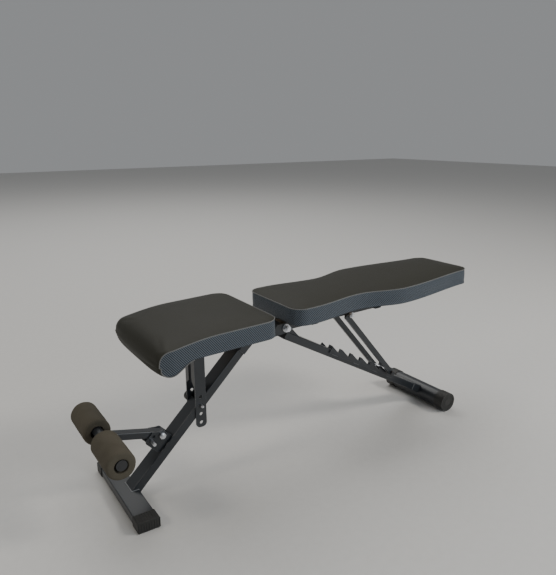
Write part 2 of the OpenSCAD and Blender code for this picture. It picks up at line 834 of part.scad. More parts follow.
module back_strut(side) color(steel_black) pair_on(side, strut_in, strut_out) strut_outline();
module back_strut_near() back_strut(-1);
module back_strut_far() back_strut(1);

module strut_rod() color(zinc) bar_y(rod_at, rod_d, -strut_out - 6, strut_out + 6);

module strut_rod_caps() color(rubber_black) for (side = [-1, 1])
  translate([rod_at.x, side * strut_out, rod_at.y]) rotate([-side * 90, 0, 0]) rotate_extrude()
    difference() {
      square([7, 8]);
      square([rod_d / 2, 6]);
    }

// ---------------------------------------------------------------- the whole bench

module place() translate([-x_mid, 0, 0]) children();

place() rear_leg_tube();
place() rear_leg_plug();
place() rear_leg_socket();
place() rear_foot_tube();
place() rear_foot_caps();
place() rear_hinge_ears();
place() ladder_plate_near();
place() ladder_plate_far();
place() main_hinge_bolt();
place() main_hinge_nut();
place() main_hinge_washers();
place() front_leg_tube();
place() front_leg_plug();
place() leg_hinge_plates();
place() front_foot_tube();
place() front_foot_caps();
place() roller_bracket();
place() roller_pivot_bolt();
place() roller_pivot_nut();
place() roller_stop_pin();
place() roller_arm_tube();
place() roller_arm_plug();
place() roller_crossbar();
place() roller_end_caps();
place() foam_roller_near();
place() foam_roller_far();
place() seat_pad();
place() seat_board();
place() seat_rail_near();
place() seat_rail_far();
place() seat_cross_bars();
place() seat_board_screws();
place() link_pivot_bolt();
place() link_pivot_nut();
place() seat_link_near();
place() seat_link_far();
place() seat_lock_pin();
place() seat_lock_knob();
place() back_pad();
place() back_board();
place() back_frame_tube();
place() back_frame_plugs();
place() back_cross_bars();
place() back_board_screws();
place() strut_pivot_bolt();
place() strut_pivot_nut();
place() strut_spacers();
place() back_strut_near();
place() back_strut_far();
place() strut_rod();
place() strut_rod_caps();
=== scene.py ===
"""Looks of a folding weight bench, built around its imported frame."""

import json
import logging
import math
from dataclasses import dataclass, field
from enum import Enum
from typing import Any

import bmesh
import bpy
from mathutils import Matrix, Vector, noise


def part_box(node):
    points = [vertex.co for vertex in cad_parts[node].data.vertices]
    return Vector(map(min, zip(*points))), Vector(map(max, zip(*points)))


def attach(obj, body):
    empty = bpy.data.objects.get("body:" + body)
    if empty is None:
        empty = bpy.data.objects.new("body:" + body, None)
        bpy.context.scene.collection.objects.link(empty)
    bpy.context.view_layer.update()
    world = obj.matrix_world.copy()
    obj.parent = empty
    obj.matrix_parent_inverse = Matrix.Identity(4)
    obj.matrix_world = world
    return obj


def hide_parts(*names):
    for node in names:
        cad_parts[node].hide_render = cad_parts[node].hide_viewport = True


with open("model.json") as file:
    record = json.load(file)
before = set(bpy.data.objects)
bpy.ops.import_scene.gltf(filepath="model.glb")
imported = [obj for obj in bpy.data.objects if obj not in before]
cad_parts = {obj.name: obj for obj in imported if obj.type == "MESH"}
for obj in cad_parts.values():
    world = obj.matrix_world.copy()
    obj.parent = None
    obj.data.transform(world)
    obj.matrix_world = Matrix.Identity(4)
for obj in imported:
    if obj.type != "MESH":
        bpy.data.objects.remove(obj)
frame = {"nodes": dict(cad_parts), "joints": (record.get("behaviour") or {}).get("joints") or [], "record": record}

log = logging.getLogger("bench")
MM = 0.001


# ---------------------------------------------------------------- materials


class Signal:
    """A shader socket that adds Math nodes when it is used in arithmetic."""

    def __init__(self, painter: "Painter", socket: bpy.types.NodeSocket) -> None:
        """Keeps the painter, which adds the nodes, and the socket."""
        self.painter = painter
        self.socket = socket

    def math(self, operation: str, *others: Any) -> "Signal":
        """Adds one Math node.

        Args:
            operation: the Math node's operation.
            others: its other inputs, as numbers or signals.

        Returns:
            The node's value.
        """
        values = {index: value for index, value in enumerate((self, *others))}
        return self.painter.node("ShaderNodeMath", {"operation": operation}, values)

    def __add__(self, other: Any) -> "Signal":
        """Adds a number or a signal."""
        return self.math("ADD", other)

    __radd__ = __add__

    def __mul__(self, other: Any) -> "Signal":
        """Multiplies by a number or a signal."""
        return self.math("MULTIPLY", other)

    __rmul__ = __mul__

    def __sub__(self, other: Any) -> "Signal":
        """Subtracts a number or a signal."""
        return self.math("SUBTRACT", other)

    def __rsub__(self, other: float) -> "Signal":
        """Subtracts the signal from a number."""
        return self.painter.node("ShaderNodeMath", {"operation": "SUBTRACT"}, {0: other, 1: self})

    def __truediv__(self, other: Any) -> "Signal":
        """Divides by a number or a signal."""
        return self.math("DIVIDE", other)

    def floor(self) -> "Signal":
        """Rounds down."""
        return self.math("FLOOR")

    def modulo(self, period: float) -> "Signal":
        """Returns the remainder, which is positive for positive values."""
        return self.math("FLOORED_MODULO", period)

    def sine(self) -> "Signal":
        """Returns the sine."""
        return self.math("SINE")

    def size(self) -> "Signal":
        """Returns the value without its sign."""
        return self.math("ABSOLUTE")

    def below(self, limit: Any) -> "Signal":
        """Returns 1 where the value is below a limit, and 0 elsewhere."""
        return self.math("LESS_THAN", limit)


class Painter:
    """Makes one material: its Principled shader and the nodes that feed it."""

    def __init__(self, name: str) -> None:
        """Starts a material with a plain Principled shader."""
        self.material = bpy.data.materials.new(name)
        self.material.use_nodes = True
        self.tree = self.material.node_tree
        self.shader = self.tree.nodes["Principled BSDF"]

    def node(self, kind: str, settings: dict[str, Any], inputs: dict[Any, Any], output: Any = 0) -> Signal:
        """Adds any node.

        Args:
            kind: the node's type.
            settings: its properties, which are set first.
            inputs: values, signals or sockets by input name or number.
            output: the output's name or number.

        Returns:
            The chosen output.
        """
        made = self.tree.nodes.new(kind)
        for name, value in settings.items():
            setattr(made, name, value)
        for name, value in inputs.items():
            self.feed(made.inputs[name], value)
        return Signal(self, made.outputs[output])

    def feed(self, socket: bpy.types.NodeSocket, value: Any) -> None:
        """Links a signal to a socket, or sets a plain value on it."""
        if isinstance(value, Signal):
            self.tree.links.new(value.socket, socket)
        else:
            socket.default_value = value

    def set(self, **values: Any) -> None:
        """Feeds the shader's sockets; an underscore stands for a space."""
        for name, value in values.items():
            self.feed(self.shader.inputs[name.replace("_", " ")], value)

    def place(self) -> Signal:
        """Returns the Object coordinates, in metres."""
        return self.node("ShaderNodeTexCoord", {}, {}, "Object")

    def along_cloth(self) -> tuple[Signal, Signal]:
        """Returns the distances along and up the cloth, in metres."""
        cloth = self.node("ShaderNodeUVMap", {"uv_map": "cloth"}, {})
        x = self.node("ShaderNodeSeparateXYZ", {}, {0: cloth}, 0)
        return x, Signal(self, x.socket.node.outputs[1])

    def clouds(self, size: float, detail: float = 3.0) -> Signal:
        """Returns soft noise whose features are about `size` metres wide."""
        settings = {"Vector": self.place(), "Scale": 1 / size, "Detail": detail}
        return self.node("ShaderNodeTexNoise", {}, settings, 0)

    def cells(self, size: float) -> Signal:
        """Returns the distance to the nearest of points about `size` metres apart."""
        settings = {"Vector": self.place(), "Scale": 1 / size, "Randomness": 1.0}
        return self.node("ShaderNodeTexVoronoi", {}, settings, "Distance")

    def edges(self, radius: float) -> Signal:
        """Returns 0 on flat faces, rising to 1 on edges that are closer than `radius`."""
        rounded = self.node("ShaderNodeBevel", {"samples": 6}, {"Radius": radius})
        flat = self.node("ShaderNodeNewGeometry", {}, {}, "Normal")
        agree = self.node("ShaderNodeVectorMath", {"operation": "DOT_PRODUCT"}, {0: rounded, 1: flat}, "Value")
        return ((1 - agree) * 5).math("MINIMUM", 1.0)

    def mix(self, factor: Any, low: Signal, high: tuple) -> Signal:
        """Returns a colour between a painted colour and a plain one."""
        inputs = {0: factor, 6: low, 7: (*high, 1)}
        return self.node("ShaderNodeMix", {"data_type": "RGBA"}, inputs, 2)

    def blend(self, factor: Any, low: tuple, high: tuple) -> Signal:
        """Returns a colour between two colours."""
        inputs = {0: factor, 6: (*low, 1), 7: (*high, 1)}
        return self.node("ShaderNodeMix", {"data_type": "RGBA"}, inputs, 2)

    def bump(self, height: Signal, depth: float, strength: float = 1.0) -> Signal:
        """Returns a normal for a relief `depth` metres deep."""
        inputs = {"Height": height, "Distance": depth, "Strength": strength}
        return self.node("ShaderNodeBump", {}, inputs)


@dataclass(frozen=True)
class Finish:
    """A finish: its name and the two colours that it wanders between."""

    name: str
    dark: tuple[float, float, float]
    light: tuple[float, float, float]
    roughness: float

    def make(self) -> bpy.types.Material:
        """Makes the material."""
        painter = Painter(self.name)
        self.paint(painter)
        return painter.material

    def paint(self, painter: Painter) -> None:
        """Fills the material in; each finish has its own way."""
        raise NotImplementedError


@dataclass(frozen=True)
class PowderCoat(Finish):
    """Semi-gloss powder coat with a faint orange peel, a little dust, and a painted highlight along its edges."""

    peel: float = 2.2 * MM
    # edge: the colour of the painted highlight along the rounded edges.
    edge: tuple[float, float, float] = (0.16, 0.17, 0.18)

    def paint(self, painter: Painter) -> None:
        """Fills the material in."""
        dust = painter.clouds(60 * MM, 6)
        peel = painter.clouds(self.peel, 2)
        film = painter.blend(dust, self.dark, self.light)
        painter.set(
            # painted highlight: where edges() finds a rounded edge, the lighter edge colour is mixed in.
            Base_Color=painter.mix(painter.edges(0.9 * MM) * 0.8, film, self.edge),
            Roughness=self.roughness + 0.12 * dust,
            Normal=painter.bump(peel, 0.12 * MM, 0.5),
            Specular_IOR_Level=0.55,
            Coat_Roughness=0.25,
            Coat_Weight=0.15,
        )


@dataclass(frozen=True)
class ZincPlate(Finish):
    """Bright zinc on bolts and pins, slightly clouded."""

    def paint(self, painter: Painter) -> None:
        """Fills the material in."""
        cloud = painter.clouds(5 * MM, 4)
        painter.set(
            Base_Color=painter.blend(cloud, self.dark, self.light),
            Metallic=1.0,
            Roughness=self.roughness + 0.2 * cloud,
            Normal=painter.bump(painter.clouds(0.8 * MM, 2), 0.05 * MM, 0.4),
        )


@dataclass(frozen=True)
class Moulded(Finish):
    """Moulded rubber or plastic with a fine grain."""

    grain: float = 0.9 * MM

    def paint(self, painter: Painter) -> None:
        """Fills the material in."""
        scuff = painter.clouds(22 * MM, 6)
        painter.set(
            Base_Color=painter.blend(scuff, self.dark, self.light),
            Roughness=self.roughness + 0.15 * scuff,
            Normal=painter.bump(painter.clouds(self.grain, 2), 0.12 * MM, 0.5),
        )


@dataclass(frozen=True)
class ClosedCellFoam(Finish):
    """Matt foam with a fine cell structure and a soft bloom."""

    cell: float = 1.3 * MM

    def paint(self, painter: Painter) -> None:
        """Fills the material in."""
        cells = painter.cells(self.cell)
        patches = painter.clouds(35 * MM, 5)
        painter.set(
            Base_Color=painter.blend(patches * 0.7 + cells * 0.4, self.dark, self.light),
            Roughness=self.roughness,
            Normal=painter.bump(cells + 0.6 * painter.clouds(0.5 * MM, 2), 0.3 * MM, 0.7),
            Specular_IOR_Level=0.2,
        )


@dataclass(frozen=True)
class SmoothVinyl(Finish):
    """Upholstery vinyl with a shallow leather grain."""

    grain: float = 1.6 * MM

    def paint(self, painter: Painter) -> None:
        """Fills the material in."""
        pebbles = painter.cells(self.grain)
        wear = painter.clouds(90 * MM, 5)
        painter.set(
            Base_Color=painter.blend(wear, self.dark, self.light),
            Roughness=self.roughness + 0.14 * wear - 0.08 * pebbles,
            Normal=painter.bump(pebbles, 0.22 * MM, 0.55),
            Specular_IOR_Level=0.22,
        )


@dataclass(frozen=True)
class TwillVinyl(Finish):
    """Vinyl embossed like a two-by-two twill of flat yarns, with a painted sheen in its colour: the upright tows
    painted light, the level tows dark.
    """

    warp: float = 1.38 * MM
    weft: float = 1.75 * MM
    repeat: int = 4

    def paint(self, painter: Painter) -> None:
        """Fills the material in."""
        along, up = painter.along_cloth()
        column = along / self.warp + 4000
        row = up / self.weft + 4000
        step = (column.floor() + row.floor()).modulo(self.repeat)
        upright = step.below(self.repeat / 2)
        across_upright = (column * math.pi).sine().size()
        across_level = (row * math.pi).sine().size()
        relief = upright * across_upright + (1 - upright) * across_level
        # Painted sheen: the upright tows are painted light and brightest along their crowns, and the level tows
        # nearly black. This stands in for how the two tow directions catch the light.
        painted_sheen = upright * (0.65 + 0.35 * across_upright) + (1 - upright) * (0.10 * across_level)
        painter.set(
            Base_Color=painter.blend(painted_sheen, self.dark, self.light),
            Roughness=self.roughness + 0.12 * (1 - upright) + 0.08 * painter.clouds(40 * MM, 4),
            Normal=painter.bump(relief, 0.25 * MM, 0.5),
            Specular_IOR_Level=0.3,
        )


@dataclass(frozen=True)
class BackingCloth(Finish):
    """Thin black cloth stapled under the pads."""

    def paint(self, painter: Painter) -> None:
        """Fills the material in."""
        fibre = painter.clouds(1.1 * MM, 4)
        painter.set(
            Base_Color=painter.blend(fibre, self.dark, self.light),
            Roughness=self.roughness,
            Normal=painter.bump(fibre, 0.2 * MM, 0.6),
        )


@dataclass(frozen=True)
class Plywood(Finish):
    """Bare plywood with a stretched grain."""

    def paint(self, painter: Painter) -> None:
        """Fills the material in."""
        stretched = painter.node(
            "ShaderNodeMapping", {}, {"Vector": painter.place(), "Scale": (6, 60, 60)}
        )
        grain = painter.node("ShaderNodeTexNoise", {}, {"Vector": stretched, "Scale": 3.0, "Detail": 6}, 0)
        painter.set(
            Base_Color=painter.blend(grain, self.dark, self.light),
            Roughness=self.roughness + 0.1 * grain,
            Normal=painter.bump(grain, 0.15 * MM, 0.5),
        )


class Coat(Enum):
    """The finishes of the bench and of the studio."""

    STEEL = PowderCoat("powder_black", (0.011, 0.013, 0.016), (0.020, 0.023, 0.027), 0.28)
    # The weld beads are painted light grey as a painted glint, where the black-coated welds catch the light.
    WELD = PowderCoat("weld_bead_painted_glint", (0.10, 0.105, 0.11), (0.22, 0.225, 0.23), 0.24)
    ZINC = ZincPlate("zinc", (0.62, 0.63, 0.65), (0.80, 0.81, 0.83), 0.20)
    RUBBER = Moulded("rubber_black", (0.014, 0.014, 0.013), (0.032, 0.031, 0.028), 0.46)
    PLASTIC = Moulded("plastic_black", (0.014, 0.014, 0.015), (0.028, 0.028, 0.029), 0.45, 0.6 * MM)
    FOAM = ClosedCellFoam("foam", (0.058, 0.050, 0.036), (0.105, 0.093, 0.070), 0.95)
    VINYL = SmoothVinyl("vinyl", (0.019, 0.018, 0.012), (0.028, 0.027, 0.019), 0.52)
    # The twill's light colour is the painted sheen of the upright tows.
    TWILL = TwillVinyl("vinyl_twill", (0.003, 0.0035, 0.005), (0.125, 0.148, 0.175), 0.42)
    # The welt is painted light grey as a painted highlight along the seam's ridge.
    WELT = SmoothVinyl("vinyl_welt_painted_highlight", (0.13, 0.13, 0.125), (0.18, 0.18, 0.175), 0.30)
    BACKING = BackingCloth("backing_cloth", (0.008, 0.008, 0.008), (0.020, 0.020, 0.020), 0.95)
    PLY = Plywood("plywood", (0.30, 0.20, 0.11), (0.52, 0.38, 0.23), 0.60)
    FLOOR = Moulded("studio_floor", (0.58, 0.57, 0.55), (0.63, 0.62, 0.60), 0.75, 4 * MM)


class Wardrobe:
    """Makes each material once and hands it out."""

    def __init__(self) -> None:
        """Starts with nothing made."""
        self.made: dict[Coat, bpy.types.Material] = {}

    def get(self, coat: Coat) -> bpy.types.Material:
        """Returns the material of a finish."""
        if coat not in self.made:
            self.made[coat] = coat.value.make()
        return self.made[coat]

    def dress(self, piece: bpy.types.Object, *coats: Coat) -> None:
        """Gives a piece its materials, in the order of its faces' material numbers."""
        slots = piece.data.materials
        while len(slots) < len(coats):
            slots.append(None)
        for number, coat in enumerate(coats):
            slots[number] = self.get(coat)


# ---------------------------------------------------------------- shared helpers


def new_piece(name: str, shape: bmesh.types.BMesh) -> bpy.types.Object:
    """Makes a scene object from a finished shape.

    Args:
        name: the piece's name.
        shape: its geometry, in the row frame; it is freed.

    Returns:
        The new object, at the origin.
    """
    mesh = bpy.data.meshes.new(name)
    shape.to_mesh(mesh)
    shape.free()
    piece = bpy.data.objects.new(name, mesh)
    bpy.context.scene.collection.objects.link(piece)
    return piece


def make_active(piece: bpy.types.Object) -> None:
    """Selects one piece and nothing else."""
    bpy.ops.object.select_all(action="DESELECT")
    piece.select_set(True)
    bpy.context.view_layer.objects.active = piece


def subdivide(piece: bpy.types.Object, levels: int) -> None:
    """Applies a subdivision surface and smooths the shading."""
    modifier = piece.modifiers.new("smooth", "SUBSURF")
    modifier.levels = levels
    modifier.render_levels = levels
    make_active(piece)
    bpy.ops.object.modifier_apply(modifier=modifier.name)
    piece.data.shade_smooth()


def joint_place(name: str) -> Vector:
    """Returns a joint's position at rest."""
    found = next(joint for joint in frame["joints"] if joint["name"] == name)
    return Vector(found["pos_m"])


def between(low: float, high: float, share: float) -> float:
    """Returns a value that eases from low to high as share goes from 0 to 1."""
    share = min(max(share, 0.0), 1.0)
    return low + (high - low) * share * share * (3 - 2 * share)


def welt(name: str, path: list[Vector], radius: float, closed: bool) -> bpy.types.Object:
    """Makes the narrow raised seam between two panels.

    Args:
        name: the piece's name.
        path: the points that it follows.
        radius: its radius.
        closed: whether its ends meet.

    Returns:
        The welt, as a mesh.
    """
    line = bpy.data.curves.new(name, "CURVE")
    line.dimensions = "3D"
    line.bevel_depth = radius
    line.bevel_resolution = 3
    line.use_fill_caps = not closed
    spline = line.splines.new("POLY")
    spline.points.add(len(path) - 1)
    for point, place in zip(spline.points, path):
        point.co = (*place, 1)
    spline.use_cyclic_u = closed
    piece = bpy.data.objects.new(name, line)
    bpy.context.scene.collection.objects.link(piece)
    make_active(piece)
    bpy.ops.object.convert(target="MESH")
    piece = bpy.context.view_layer.objects.active
    piece.data.shade_smooth()
    return piece


# ---------------------------------------------------------------- pads


class Panel(Enum):
    """The panels of a cover, numbered as its materials are."""

    TOP = 0
    SIDE = 1
    BACKING = 2


@dataclass
class Pad:
    """A padded cover over a board, built on stations along it and rows across it."""

    name: str = "pad"
    node: str = "pad"
    body: str = "body"
    fill: float = 0.9
    length: float = 0.3
    thick: float = 0.05
    slope: float = 0.0
    facing: int = 1
    corner: float = 0.04
    board: float = 12.4 * MM
    border: float = 7.0 * MM
    board_end: float = 0.3
    stations: int = 56
    rows: int = 30
    layers: int = 6
    seam_drop: float = 3.0 * MM
    shoulder_reach: float = 5.0 * MM
    crown: float = 4.0 * MM
    crown_reach: float = 45 * MM
    bulge: float = 1.5 * MM
    tuck: float = 2.5 * MM
    welt_radius: float = 1.3 * MM
    swell_limit: float = 4.0 * MM
    origin: Vector = field(default_factory=Vector)

    def half_width(self, s: float) -> float:
        """Returns half the pad's width at a distance from its first end."""
        raise NotImplementedError

    def top(self, s: float) -> float:
        """Returns the height of the upper seam above the underside."""
        return self.thick

    def bottom(self, s: float) -> float:
        """Returns the height of the underside."""
        return 0.0

    def seam_distance(self, i: int, j: int, m: int) -> float:
        """Returns how far a lattice place on the top panel is from the nearest seam, or 0."""
        if m > 0:
            return 0.0
        s = self.station(i)
        side = (1 - abs(self.share(j))) * self.half_width(s)
        return max(0.0, min(side, s, self.length - s))

    def corner_pull(self, s: float) -> float:
        """Returns how far a rounded corner pulls the edge in."""
        if s >= self.corner:
            return 0.0
        return self.corner - math.sqrt(self.corner**2 - (self.corner - s) ** 2)

    def at(self, s: float, y: float, n: float) -> Vector:
        """Returns a point in the row frame.

        Args:
            s: the distance along the pad.
            y: the distance across the bench.
            n: the height above the underside.

        Returns:
            The point.
        """
        turn = math.radians(self.slope)
        along = Vector((math.cos(turn), 0, math.sin(turn))) * self.facing
        up = Vector((-math.sin(turn), 0, math.cos(turn)))
        return self.origin + along * s + Vector((0, y, 0)) + up * n

    def station(self, i: int) -> float:
        """Returns the distance of a station; they are closer together at both ends."""
        eased = (1 - math.cos(math.pi * i / self.stations)) / 2
        return self.length * (0.75 * eased + 0.25 * i / self.stations)

    def share(self, j: int) -> float:
        """Returns a row's place across the pad, from -1 to 1."""
        even = 2 * j / self.rows - 1
        return 0.6 * math.sin(math.pi / 2 * even) + 0.4 * even

    def rise(self, distance: float) -> float:
        """Returns how far the foam lifts the top panel at a distance from its seam."""
        shoulder = self.seam_drop * (1 - math.exp(-distance / self.shoulder_reach))
        return shoulder + self.crown * (1 - math.exp(-distance / self.crown_reach))

    def height(self, s: float, down: float) -> float:
        """Returns the height on a wall, from its seam (down = 0) to the underside (down = 1)."""
        seam = self.top(s) - self.seam_drop
        return seam + (self.bottom(s) - seam) * down

    def plan(self, i: int, j: int) -> Vector:
        """Returns a column's place seen from above, as distances along and across the pad."""
        s = self.station(i)
        return Vector((s, self.share(j) * self.half_width(s)))

    def point(self, i: int, j: int, m: int) -> Vector:
        """Returns a vertex of the cover.

        Args:
            i: the station.
            j: the row.
            m: the layer, from 0 at the top to the last at the underside.

        Returns:
            The point.
        """
        s, share = self.station(i), self.share(j)
        down = m / self.layers
        n = self.height(s, down)
        out = self.bulge * math.sin(math.pi * down) - self.tuck * down**6
        half = self.half_width(s)
        y = share * half
        if j in (0, self.rows):
            y += math.copysign(out, share)
        if i == 0:
            s -= out
        if i == self.stations:
            s += out
        return self.at(s, y, n)

    def rim(self) -> list[tuple[int, int]]:
        """Returns the columns of the walls, once round the pad."""
        last_i, last_j = self.stations, self.rows
        near = [(i, 0) for i in range(last_i)]
        end = [(last_i, j) for j in range(last_j)]
        far = [(i, last_j) for i in range(last_i, 0, -1)]
        start = [(0, j) for j in range(last_j, 0, -1)]
        return near + end + far + start

    def end_panel(self) -> Panel:
        """Returns the panel that covers the last end."""
        return Panel.SIDE

    def under_panel(self, i: int) -> Panel:
        """Returns the panel that covers the underside at a station."""
        return Panel.BACKING

    def is_seam(self, i: int, j: int) -> bool:
        """Says whether the top's edge is sewn at a column of the walls."""
        return True

    def cover(self) -> bpy.types.Object:
        """Builds the whole cover with its panels, cloth coordinates and creases.

        Returns:
            The cover, at the origin.
        """
        shape = bmesh.new()
        cloth = shape.loops.layers.uv.new("cloth")
        crease = shape.edges.layers.float.new("crease_edge")
        grid: dict[tuple[int, int, int], bmesh.types.BMVert] = {}

        def vert(i: int, j: int, m: int) -> bmesh.types.BMVert:
            """Returns the vertex of a lattice place, and makes it the first time."""
            if (i, j, m) not in grid:
                grid[i, j, m] = shape.verts.new(self.point(i, j, m))
            return grid[i, j, m]

        def face(places: list, panel: Panel, uvs: list) -> bmesh.types.BMFace:
            """Adds one face with its panel and its cloth coordinates."""
            made = shape.faces.new([vert(*place) for place in places])
            made.material_index = panel.value
            made.smooth = True
            for loop, uv in zip(made.loops, uvs):
                loop[cloth].uv = uv
            return made

        under = []
        for i in range(self.stations):
            for j in range(self.rows):
                steps = [(i, j), (i + 1, j), (i + 1, j + 1), (i, j + 1)]
                flat = [self.plan(*step) for step in steps]
                face([(*step, 0) for step in steps], Panel.TOP, flat)
                made = face([(*step, self.layers) for step in steps], self.under_panel(i), flat)
                if self.over_board(i, j):
                    under.append(made)
        rim = self.rim()
        arc = 0.0
        for first, second in zip(rim, rim[1:] + rim[:1]):
            last_end = first[0] == second[0] == self.stations
            panel = self.end_panel() if last_end else Panel.SIDE
            step = (self.plan(*second) - self.plan(*first)).length
            for m in range(self.layers):
                places = [(*first, m), (*second, m), (*second, m + 1), (*first, m + 1)]
                arcs = (arc, arc + step, arc + step, arc)
                heights = [self.height(self.station(i), k / self.layers) for i, _, k in places]
                face(places, panel, [(a * self.facing, n) for a, n in zip(arcs, heights)])
            arc += step
        bmesh.ops.recalc_face_normals(shape, faces=shape.faces)
        shape.normal_update()
        lifts = {place: self.rise(self.seam_distance(*place)) for place in grid}
        moves = [(grid[place], grid[place].normal * lift) for place, lift in lifts.items()]
        for lifted, move in moves:
            lifted.co += move
        for first, second in zip(rim, rim[1:] + rim[:1]):
            for m in (0, self.layers):
                edge = shape.edges.get((grid[(*first, m)], grid[(*second, m)]))
                sewn = self.is_seam(*first) and self.is_seam(*second)
                edge[crease] = 0.75 if m == 0 and sewn else 0.35
        self.sink_board(shape, under, crease)
        return new_piece(self.name, shape)

    def over_board(self, i: int, j: int) -> bool:
        """Says whether a face of the underside is over the board."""
        start, stop = self.station(i), self.station(i + 1)
        inside = start >= self.border and stop <= self.board_end
        return inside and 1 <= j < self.rows - 1

    def sink_board(self, shape: bmesh.types.BMesh, under: list, crease: Any) -> None:
        """Presses the board's recess into the underside.

        Args:
            shape: the cover.
            under: the faces over the board.
            crease: the crease layer of its edges.
        """
        made = bmesh.ops.extrude_face_region(shape, geom=under)["geom"]
        verts = [g for g in made if isinstance(g, bmesh.types.BMVert)]
        edges = [g for g in made if isinstance(g, bmesh.types.BMEdge)]
        bmesh.ops.delete(shape, geom=under, context="FACES_KEEP_BOUNDARY")
        rise = self.at(0, 0, self.board) - self.at(0, 0, 0)
        bmesh.ops.translate(shape, verts=verts, vec=rise)
        for edge in edges:
            if any(abs(f.normal.dot(rise)) < 0.5 * rise.length for f in edge.link_faces):
                edge[crease] = 1.0
                for vert in edge.verts:
                    for other in vert.link_edges:
                        other[crease] = max(other[crease], 0.8)

    def sewn_path(self) -> list[Vector]:
        """Returns the points of the seam round the top."""
        return [self.point(i, j, 0) for i, j in self.rim()]

    def held(self, piece: bpy.types.Object) -> list[int]:
        """Returns the vertices that the seams, the board and the staples hold."""
        sewn = [self.point(i, j, 0) for i, j in self.rim() if self.is_seam(i, j)]
        up = (self.at(0, 0, 1) - self.at(0, 0, 0)).normalized()
        floor = self.at(0, 0, 0).dot(up) + self.board + 0.5 * MM
        places = {tuple(round(c, 6) for c in place) for place in sewn}
        held = []
        for vert in piece.data.vertices:
            low = vert.co.dot(up) < floor and abs(vert.co.y) < self.half_width(0.5 * self.length) * 2
            key = tuple(round(c, 6) for c in vert.co)
            if key in places or (low and self.staples(vert.co)):
                held.append(vert.index)
        return held

    def staples(self, place: Vector) -> bool:
        """Says whether a low vertex is held by the board."""
        return True

    def swell(self, piece: bpy.types.Object) -> None:
        """Lets the foam push the cover out between its seams, as far as the limit.

        Args:
            piece: the cover.
        """
        rest = [vert.co.copy() for vert in piece.data.vertices]
        group = piece.vertex_groups.new(name="held")
        group.add(self.held(piece), 1.0, "REPLACE")
        cloth = piece.modifiers.new("foam", "CLOTH")
        cloth.settings.quality = 5
        cloth.settings.vertex_group_mass = group.name
        cloth.settings.use_pressure = True
        cloth.settings.uniform_pressure_force = 4.0
        cloth.settings.effector_weights.gravity = 0.0
        scene = bpy.context.scene
        for number in range(1, 21):
            scene.frame_set(number)
        settled = piece.evaluated_get(bpy.context.evaluated_depsgraph_get())
        for index, vert in enumerate(settled.data.vertices):
            move = vert.co - rest[index]
            reach = self.swell_limit * math.tanh(move.length / self.swell_limit)
            if move.length > 0:
                rest[index] += move * (reach / move.length)
        piece.modifiers.remove(cloth)
        scene.frame_set(1)
        for vert, place in zip(piece.data.vertices, rest):
            vert.co = place
        piece.vertex_groups.clear()

    def build(self, wardrobe: Wardrobe) -> None:
        """Makes the cover and its welt, dresses them and hands them to their body."""
        piece = self.cover()
        self.swell(piece)
        subdivide(piece, 1)
        wardrobe.dress(piece, Coat.VINYL, Coat.TWILL, Coat.BACKING)
        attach(piece, self.body)
        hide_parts(self.node)
        path = self.sewn_path()
        seam = welt(self.name + "_welt", path, self.welt_radius, self.welt_is_closed())
        # The welt's light grey is a painted highlight along the seam.
        wardrobe.dress(seam, Coat.WELT)
        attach(seam, self.body)
        log.info("%s: %d faces, and its welt", self.name, len(piece.data.polygons))

    def welt_is_closed(self) -> bool:
        """Says whether the welt goes all the way round."""
        return True


@dataclass
class BackPad(Pad):
    """The long shaped pad, narrow at the waist and wide at the shoulders."""

    front_half: float = 131 * MM
    waist_half: float = 109 * MM
    shoulder_half: float = 147 * MM
    head_half: float = 111 * MM
    straight: float = 60 * MM
    waist_at: float = 235 * MM
    shoulder_at: float = 385 * MM

    def half_width(self, s: float) -> float:
        """Returns half the pad's width at a distance from its front end."""
        s = min(max(s, 0.0), self.length)
        if s < self.waist_at:
            share = (s - self.straight) / (self.waist_at - self.straight)
            half = between(self.front_half, self.waist_half, share)
        elif s < self.shoulder_at:
            share = (s - self.waist_at) / (self.shoulder_at - self.waist_at)
            half = between(self.waist_half, self.shoulder_half, share)
        else:
            share = (s - self.shoulder_at) / (self.length - self.shoulder_at)
            half = between(self.shoulder_half, self.head_half, share)
        return half - self.corner_pull(s) - self.corner_pull(self.length - s)


